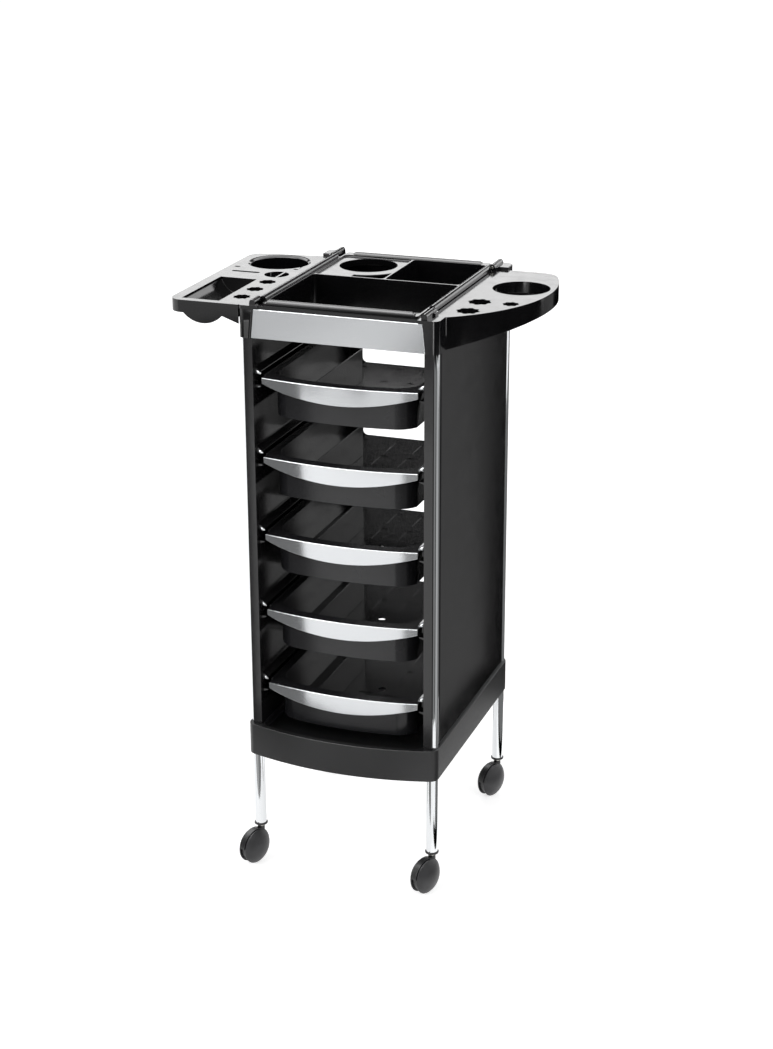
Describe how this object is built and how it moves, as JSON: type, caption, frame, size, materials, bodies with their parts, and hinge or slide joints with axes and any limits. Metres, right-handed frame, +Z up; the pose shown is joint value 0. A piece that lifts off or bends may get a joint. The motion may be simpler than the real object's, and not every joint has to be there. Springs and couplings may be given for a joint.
{
  "type": "rolling salon trolley",
  "caption": "Tall hairdressing trolley on swivel casters, with sliding trays between side panels, a divided top basin and two fold-over side wings.",
  "frame": {"origin": "on the floor under the middle of the whole trolley's box", "axes": "+Z up, front (the tray fronts) towards -Y, the curved wing towards +X"},
  "size_m": [0.508, 0.3911, 0.8895],
  "materials": {
    "panel_black": "satin moulded",
    "panel_grey": "satin moulded",
    "gloss_black": "gloss moulded",
    "tray_grey": "satin moulded",
    "silver": "satin silver lacquer",
    "chrome": "polished",
    "steel": "zinc plated",
    "caster_black": "satin moulded",
    "wheel_black": "satin nylon"
  },
  "bodies": {
    "body": {"base_tray": "panel_black", "side_panel_left": "panel_grey", "side_panel_right": "panel_grey", "tube_front_left": "chrome", "tube_front_right": "chrome", "tube_rear_left": "chrome", "tube_rear_right": "chrome", "top_frame": "gloss_black", "front_plate": "silver", "top_basin": "gloss_black", "hinge_pins_left": "steel", "hinge_pins_right": "steel", "socket_front_left": "caster_black", "socket_front_right": "caster_black", "socket_rear_left": "caster_black", "socket_rear_right": "caster_black"},
    "tray_1": {"tray_body_1": "tray_grey", "tray_front_1": "silver", "tray_divider_1": "tray_grey"},
    "tray_2": {"tray_body_2": "tray_grey", "tray_front_2": "silver", "tray_divider_2": "tray_grey"},
    "tray_3": {"tray_body_3": "tray_grey", "tray_front_3": "silver", "tray_divider_3": "tray_grey"},
    "tray_4": {"tray_body_4": "tray_grey", "tray_front_4": "silver", "tray_divider_4": "tray_grey"},
    "tray_5": {"tray_body_5": "tray_grey", "tray_front_5": "silver", "tray_divider_5": "tray_grey"},
    "wing_left": {"wing_left": "gloss_black"},
    "wing_right": {"wing_right": "gloss_black"},
    "caster_front_left": {"hood_front_left": "caster_black", "stem_front_left": "steel", "axle_front_left": "steel"},
    "wheel_front_left_in": {"wheel_front_left_in": "wheel_black"},
    "wheel_front_left_out": {"wheel_front_left_out": "wheel_black"},
    "caster_front_right": {"hood_front_right": "caster_black", "stem_front_right": "steel", "axle_front_right": "steel"},
    "wheel_front_right_in": {"wheel_front_right_in": "wheel_black"},
    "wheel_front_right_out": {"wheel_front_right_out": "wheel_black"},
    "caster_rear_left": {"hood_rear_left": "caster_black", "stem_rear_left": "steel", "axle_rear_left": "steel"},
    "wheel_rear_left_in": {"wheel_rear_left_in": "wheel_black"},
    "wheel_rear_left_out": {"wheel_rear_left_out": "wheel_black"},
    "caster_rear_right": {"hood_rear_right": "caster_black", "stem_rear_right": "steel", "axle_rear_right": "steel"},
    "wheel_rear_right_in": {"wheel_rear_right_in": "wheel_black"},
    "wheel_rear_right_out": {"wheel_rear_right_out": "wheel_black"}
  },
  "joints": [
    {"name": "tray_1_slide", "type": "slide", "parent": "body", "child": "tray_1", "axis": [0, -1, 0], "range_m": [0, 0.22]},
    {"name": "tray_2_slide", "type": "slide", "parent": "body", "child": "tray_2", "axis": [0, -1, 0], "range_m": [0, 0.22]},
    {"name": "tray_3_slide", "type": "slide", "parent": "body", "child": "tray_3", "axis": [0, -1, 0], "range_m": [0, 0.22]},
    {"name": "tray_4_slide", "type": "slide", "parent": "body", "child": "tray_4", "axis": [0, -1, 0], "range_m": [0, 0.22]},
    {"name": "tray_5_slide", "type": "slide", "parent": "body", "child": "tray_5", "axis": [0, -1, 0], "range_m": [0, 0.22]},
    {"name": "wing_left_fold", "type": "hinge", "parent": "body", "child": "wing_left", "pos_m": [-0.1226, 0.01503, 0.885], "axis": [0, 1, 0], "range_deg": [0, 180]},
    {"name": "wing_right_fold", "type": "hinge", "parent": "body", "child": "wing_right", "pos_m": [0.1326, 0.01503, 0.885], "axis": [0, -1, 0], "range_deg": [0, 180]},
    {"name": "swivel_front_left", "type": "hinge", "parent": "body", "child": "caster_front_left", "pos_m": [-0.134, -0.15196, 0.05], "axis": [0, 0, 1], "continuous": true},
    {"name": "roll_front_left_in", "type": "hinge", "parent": "caster_front_left", "child": "wheel_front_left_in", "pos_m": [-0.13947, -0.167, 0.027], "axis": [0.9397, -0.342, 0], "continuous": true},
    {"name": "roll_front_left_out", "type": "hinge", "parent": "caster_front_left", "child": "wheel_front_left_out", "pos_m": [-0.13947, -0.167, 0.027], "axis": [0.9397, -0.342, 0], "continuous": true},
    {"name": "swivel_front_right", "type": "hinge", "parent": "body", "child": "caster_front_right", "pos_m": [0.144, -0.15196, 0.05], "axis": [0, 0, 1], "continuous": true},
    {"name": "roll_front_right_in", "type": "hinge", "parent": "caster_front_right", "child": "wheel_front_right_in", "pos_m": [0.13853, -0.167, 0.027], "axis": [0.9397, -0.342, 0], "continuous": true},
    {"name": "roll_front_right_out", "type": "hinge", "parent": "caster_front_right", "child": "wheel_front_right_out", "pos_m": [0.13853, -0.167, 0.027], "axis": [0.9397, -0.342, 0], "continuous": true},
    {"name": "swivel_rear_left", "type": "hinge", "parent": "body", "child": "caster_rear_left", "pos_m": [-0.134, 0.18204, 0.05], "axis": [0, 0, 1], "continuous": true},
    {"name": "roll_rear_left_in", "type": "hinge", "parent": "caster_rear_left", "child": "wheel_rear_left_in", "pos_m": [-0.13947, 0.167, 0.027], "axis": [0.9397, -0.342, 0], "continuous": true},
    {"name": "roll_rear_left_out", "type": "hinge", "parent": "caster_rear_left", "child": "wheel_rear_left_out", "pos_m": [-0.13947, 0.167, 0.027], "axis": [0.9397, -0.342, 0], "continuous": true},
    {"name": "swivel_rear_right", "type": "hinge", "parent": "body", "child": "caster_rear_right", "pos_m": [0.144, 0.18204, 0.05], "axis": [0, 0, 1], "continuous": true},
    {"name": "roll_rear_right_in", "type": "hinge", "parent": "caster_rear_right", "child": "wheel_rear_right_in", "pos_m": [0.13853, 0.167, 0.027], "axis": [0.9397, -0.342, 0], "continuous": true},
    {"name": "roll_rear_right_out", "type": "hinge", "parent": "caster_rear_right", "child": "wheel_rear_right_out", "pos_m": [0.13853, 0.167, 0.027], "axis": [0.9397, -0.342, 0], "continuous": true}
  ]
}
